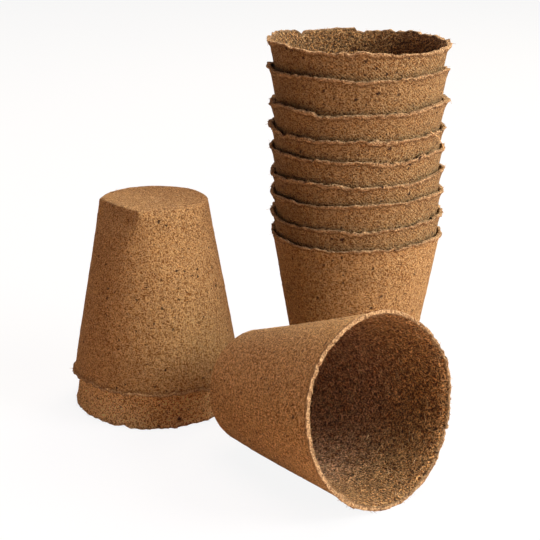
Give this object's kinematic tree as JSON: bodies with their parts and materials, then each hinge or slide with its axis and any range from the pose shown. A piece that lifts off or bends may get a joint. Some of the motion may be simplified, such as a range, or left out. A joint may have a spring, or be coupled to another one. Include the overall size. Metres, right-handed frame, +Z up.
{
  "type": "set of peat pots",
  "caption": "Round tapered plant pots of pressed peat fibre with uneven rims: a nested upright stack, an upturned nested pair and one pot lying on its side.",
  "frame": {"origin": "centre of the foot of the lowest pot of the stack, on the floor", "axes": "+Z up along the axis of the stack, -Y towards the viewer of the picture, +X to the right"},
  "size_m": [0.1748, 0.1843, 0.1725],
  "materials": {
    "peat_fibre": "matt felted fibre"
  },
  "bodies": {
    "stack_pot_1": {"stack_pot_1": "peat_fibre"},
    "stack_pot_2": {"stack_pot_2": "peat_fibre"},
    "stack_pot_3": {"stack_pot_3": "peat_fibre"},
    "stack_pot_4": {"stack_pot_4": "peat_fibre"},
    "stack_pot_5": {"stack_pot_5": "peat_fibre"},
    "stack_pot_6": {"stack_pot_6": "peat_fibre"},
    "stack_pot_7": {"stack_pot_7": "peat_fibre"},
    "stack_pot_8": {"stack_pot_8": "peat_fibre"},
    "stack_pot_9": {"stack_pot_9": "peat_fibre"},
    "upturned_inner_pot": {"upturned_inner_pot": "peat_fibre"},
    "upturned_outer_pot": {"upturned_outer_pot": "peat_fibre"},
    "lying_pot": {"lying_pot": "peat_fibre"}
  },
  "joints": [
    {"name": "stack_pot_2_lift", "type": "slide", "parent": "stack_pot_1", "child": "stack_pot_2", "axis": [0, 0, 1], "range_m": [0, 0.1]},
    {"name": "stack_pot_3_lift", "type": "slide", "parent": "stack_pot_2", "child": "stack_pot_3", "axis": [0, 0, 1], "range_m": [0, 0.1]},
    {"name": "stack_pot_4_lift", "type": "slide", "parent": "stack_pot_3", "child": "stack_pot_4", "axis": [0, 0, 1], "range_m": [0, 0.1]},
    {"name": "stack_pot_5_lift", "type": "slide", "parent": "stack_pot_4", "child": "stack_pot_5", "axis": [0, 0, 1], "range_m": [0, 0.1]},
    {"name": "stack_pot_6_lift", "type": "slide", "parent": "stack_pot_5", "child": "stack_pot_6", "axis": [0, 0, 1], "range_m": [0, 0.1]},
    {"name": "stack_pot_7_lift", "type": "slide", "parent": "stack_pot_6", "child": "stack_pot_7", "axis": [0, 0, 1], "range_m": [0, 0.1]},
    {"name": "stack_pot_8_lift", "type": "slide", "parent": "stack_pot_7", "child": "stack_pot_8", "axis": [0, 0, 1], "range_m": [0, 0.1]},
    {"name": "stack_pot_9_lift", "type": "slide", "parent": "stack_pot_8", "child": "stack_pot_9", "axis": [0, 0, 1], "range_m": [0, 0.1]},
    {"name": "upturned_inner_pot_lift", "type": "slide", "parent": "stack_pot_1", "child": "upturned_inner_pot", "axis": [0, 0, 1], "range_m": [0, 0.1]},
    {"name": "upturned_outer_pot_lift", "type": "slide", "parent": "upturned_inner_pot", "child": "upturned_outer_pot", "axis": [0, 0, 1], "range_m": [0, 0.1]},
    {"name": "lying_pot_lift", "type": "slide", "parent": "stack_pot_1", "child": "lying_pot", "axis": [0, 0, 1], "range_m": [0, 0.1]}
  ]
}
